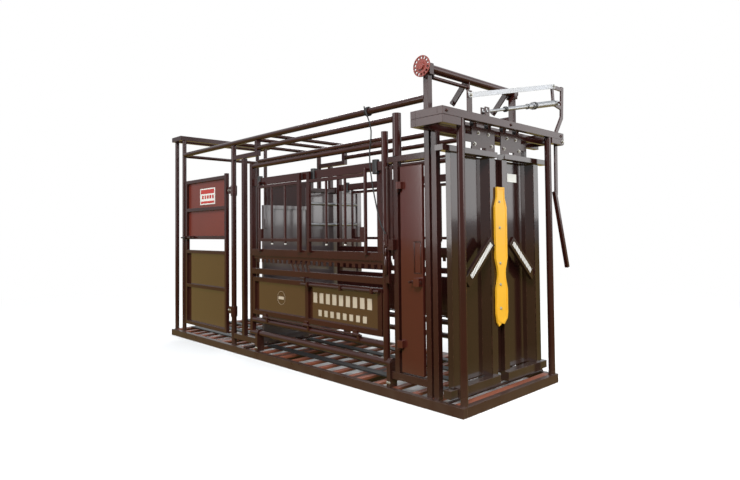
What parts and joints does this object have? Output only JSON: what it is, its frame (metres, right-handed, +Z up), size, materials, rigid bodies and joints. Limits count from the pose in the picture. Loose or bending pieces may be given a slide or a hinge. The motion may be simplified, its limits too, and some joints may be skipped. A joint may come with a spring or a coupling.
{
  "type": "cattle squeeze chute",
  "caption": "Cattle squeeze chute with a lever-worked sliding head gate, tilting squeeze sides, drop panels, side doors and a sliding tailgate on a floor frame.",
  "frame": {"origin": "on the ground under the middle of the base frame", "axes": "+Z up, -Y towards the head gate where the animal leaves, +Y towards the rear entry, +X towards the head gate lever"},
  "size_m": [2.01, 5.003, 2.801],
  "materials": {
    "frame_paint": "gloss reddish-brown paint",
    "side_paint": "gloss reddish-brown paint",
    "gate_paint": "gloss reddish-brown paint",
    "floor_paint": "worn reddish-brown paint",
    "zinc": "galvanised steel",
    "tread": "black ribbed rubber",
    "nylon": "black nylon",
    "board": "yellow polyethylene board",
    "rope": "black braided rope"
  },
  "bodies": {
    "stand": {"base_rails": "frame_paint", "base_crossmembers": "frame_paint", "floor_rungs": "floor_paint", "floor_treads": "tread", "front_posts": "frame_paint", "gate_side_posts": "frame_paint", "header_beams": "frame_paint", "header_ends": "frame_paint", "gate_tracks": "frame_paint", "lever_bracket": "frame_paint", "rear_posts": "frame_paint", "rear_header": "frame_paint", "hinge_posts": "frame_paint", "tail_posts": "frame_paint", "top_rails": "frame_paint", "roof_crossbars": "frame_paint", "side_sills": "frame_paint", "pivot_brackets": "frame_paint", "neck_posts": "frame_paint", "shaft_posts": "frame_paint", "tail_track": "frame_paint", "rear_side_panel": "frame_paint", "squeeze_lock_block": "frame_paint", "release_rope": "rope"},
    "left_leaf": {"left_leaf_frame": "gate_paint", "left_leaf_sheet": "gate_paint", "left_hanger": "zinc", "neck_board": "board"},
    "right_leaf": {"right_leaf_frame": "gate_paint", "right_leaf_sheet": "gate_paint", "right_hanger": "zinc"},
    "roller_li": {"left_roller_inner": "nylon"},
    "roller_lo": {"left_roller_outer": "nylon"},
    "roller_ri": {"right_roller_inner": "nylon"},
    "roller_ro": {"right_roller_outer": "nylon"},
    "head_lever": {"lever_arm": "side_paint", "lever_head": "side_paint"},
    "link": {"link_bar": "zinc"},
    "brake_body": {"brake_cylinder": "zinc"},
    "brake_piston": {"brake_rod": "zinc"},
    "squeeze_shaft": {"shaft_tube": "side_paint", "lock_disc": "side_paint"},
    "left_side": {"left_squeeze_frame": "side_paint"},
    "right_side": {"right_squeeze_frame": "side_paint"},
    "left_window_rear": {"left_rear_window": "side_paint"},
    "left_window_front": {"left_front_window": "side_paint"},
    "right_window_rear": {"right_rear_window": "side_paint"},
    "right_window_front": {"right_front_window": "side_paint"},
    "left_drop": {"left_drop_panel": "side_paint"},
    "right_drop": {"right_drop_panel": "side_paint"},
    "left_drop_bolt": {"left_drop_latch": "zinc"},
    "right_drop_bolt": {"right_drop_latch": "zinc"},
    "palpation_door": {"rear_door": "side_paint"},
    "palpation_bolt": {"door_bolt": "zinc"},
    "left_neck": {"left_neck_door": "side_paint"},
    "right_neck": {"right_neck_door": "side_paint"},
    "left_neck_bolt": {"left_neck_latch": "zinc"},
    "right_neck_bolt": {"right_neck_latch": "zinc"},
    "rear_gate": {"tailgate": "side_paint"},
    "side_lock": {"squeeze_lock_rod": "frame_paint"}
  },
  "joints": [
    {"name": "lever_pivot", "type": "hinge", "parent": "stand", "child": "head_lever", "pos_m": [0.885, -2.428, 2.232], "axis": [0, -1, 0], "range_deg": [0, 32]},
    {"name": "left_leaf_slide", "type": "slide", "parent": "stand", "child": "left_leaf", "axis": [-1, 0, 0], "range_m": [0, 0.295]},
    {"name": "right_leaf_slide", "type": "slide", "parent": "stand", "child": "right_leaf", "axis": [1, 0, 0], "range_m": [0, 0.295]},
    {"name": "left_roller_inner_spin", "type": "hinge", "parent": "left_leaf", "child": "roller_li", "pos_m": [-0.114, -2.341, 2.2784], "axis": [0, 1, 0], "continuous": true},
    {"name": "left_roller_outer_spin", "type": "hinge", "parent": "left_leaf", "child": "roller_lo", "pos_m": [-0.319, -2.341, 2.2784], "axis": [0, 1, 0], "continuous": true},
    {"name": "right_roller_inner_spin", "type": "hinge", "parent": "right_leaf", "child": "roller_ri", "pos_m": [0.114, -2.341, 2.2784], "axis": [0, 1, 0], "continuous": true},
    {"name": "right_roller_outer_spin", "type": "hinge", "parent": "right_leaf", "child": "roller_ro", "pos_m": [0.319, -2.341, 2.2784], "axis": [0, 1, 0], "continuous": true},
    {"name": "link_pivot", "type": "hinge", "parent": "head_lever", "child": "link", "pos_m": [0.835, -2.444, 2.765], "axis": [0, -1, 0], "range_deg": [-37, 0]},
    {"name": "brake_pivot", "type": "hinge", "parent": "head_lever", "child": "brake_body", "pos_m": [0.855, -2.47, 2.605], "axis": [0, -1, 0], "range_deg": [-34.5, 0]},
    {"name": "brake_stroke", "type": "slide", "parent": "brake_body", "child": "brake_piston", "axis": [0.9778, 0, 0.2095], "range_m": [0, 0.205]},
    {"name": "left_squeeze", "type": "hinge", "parent": "stand", "child": "left_side", "pos_m": [-0.65, -1.644, 0.277], "axis": [0, 1, 0], "range_deg": [0, 12]},
    {"name": "right_squeeze", "type": "hinge", "parent": "stand", "child": "right_side", "pos_m": [0.65, -1.644, 0.277], "axis": [0, -1, 0], "range_deg": [0, 12]},
    {"name": "shaft_turn", "type": "hinge", "parent": "stand", "child": "squeeze_shaft", "pos_m": [0, -2.14, 2.715], "axis": [1, 0, 0], "range_deg": [0, 51]},
    {"name": "left_rear_window_swing", "type": "hinge", "parent": "left_side", "child": "left_window_rear", "pos_m": [-0.693, 0.29, 1.3], "axis": [0, 0, -1], "range_deg": [0, 92]},
    {"name": "left_front_window_swing", "type": "hinge", "parent": "left_side", "child": "left_window_front", "pos_m": [-0.693, -1.438, 1.3], "axis": [0, 0, 1], "range_deg": [0, 92]},
    {"name": "right_rear_window_swing", "type": "hinge", "parent": "right_side", "child": "right_window_rear", "pos_m": [0.693, 0.29, 1.3], "axis": [0, 0, 1], "range_deg": [0, 92]},
    {"name": "right_front_window_swing", "type": "hinge", "parent": "right_side", "child": "right_window_front", "pos_m": [0.693, -1.438, 1.3], "axis": [0, 0, -1], "range_deg": [0, 92]},
    {"name": "left_drop_swing", "type": "hinge", "parent": "left_side", "child": "left_drop", "pos_m": [-0.68, -0.644, 0.47], "axis": [0, -1, 0], "range_deg": [0, 110]},
    {"name": "right_drop_swing", "type": "hinge", "parent": "right_side", "child": "right_drop", "pos_m": [0.68, -0.644, 0.47], "axis": [0, 1, 0], "range_deg": [0, 110]},
    {"name": "left_drop_latch_slide", "type": "slide", "parent": "left_drop", "child": "left_drop_bolt", "axis": [0, 1, 0], "range_m": [0, 0.04]},
    {"name": "right_drop_latch_slide", "type": "slide", "parent": "right_drop", "child": "right_drop_bolt", "axis": [0, 1, 0], "range_m": [0, 0.04]},
    {"name": "rear_door_swing", "type": "hinge", "parent": "stand", "child": "palpation_door", "pos_m": [-0.65, 0.918, 1.2], "axis": [0, 0, 1], "range_deg": [0, 100]},
    {"name": "door_bolt_slide", "type": "slide", "parent": "palpation_door", "child": "palpation_bolt", "axis": [0, -1, 0], "range_m": [0, 0.1]},
    {"name": "left_neck_door_swing", "type": "hinge", "parent": "stand", "child": "left_neck", "pos_m": [-0.69, -1.827, 1], "axis": [0, 0, -1], "range_deg": [0, 100]},
    {"name": "right_neck_door_swing", "type": "hinge", "parent": "stand", "child": "right_neck", "pos_m": [0.69, -1.827, 1], "axis": [0, 0, 1], "range_deg": [0, 100]},
    {"name": "left_neck_latch_slide", "type": "slide", "parent": "left_neck", "child": "left_neck_bolt", "axis": [0, 1, 0], "range_m": [0, 0.03]},
    {"name": "right_neck_latch_slide", "type": "slide", "parent": "right_neck", "child": "right_neck_bolt", "axis": [0, 1, 0], "range_m": [0, 0.03]},
    {"name": "tailgate_slide", "type": "slide", "parent": "stand", "child": "rear_gate", "axis": [1, 0, 0], "range_m": [-0.163, 0.7]},
    {"name": "squeeze_lock_lift", "type": "slide", "parent": "stand", "child": "side_lock", "axis": [0, 0, 1], "range_m": [0, 0.05]}
  ],
  "couplings": [
    {"joint": "left_leaf_slide", "follows": "lever_pivot", "m_per_rad": 0.5275},
    {"joint": "right_leaf_slide", "follows": "lever_pivot", "m_per_rad": 0.5275},
    {"joint": "link_pivot", "follows": "lever_pivot", "ratio": -1.144},
    {"joint": "brake_pivot", "follows": "lever_pivot", "ratio": -1.054},
    {"joint": "brake_stroke", "follows": "lever_pivot", "m_per_rad": 0.3644},
    {"joint": "right_squeeze", "follows": "left_squeeze", "ratio": 1},
    {"joint": "shaft_turn", "follows": "left_squeeze", "ratio": 4.1667}
  ]
}
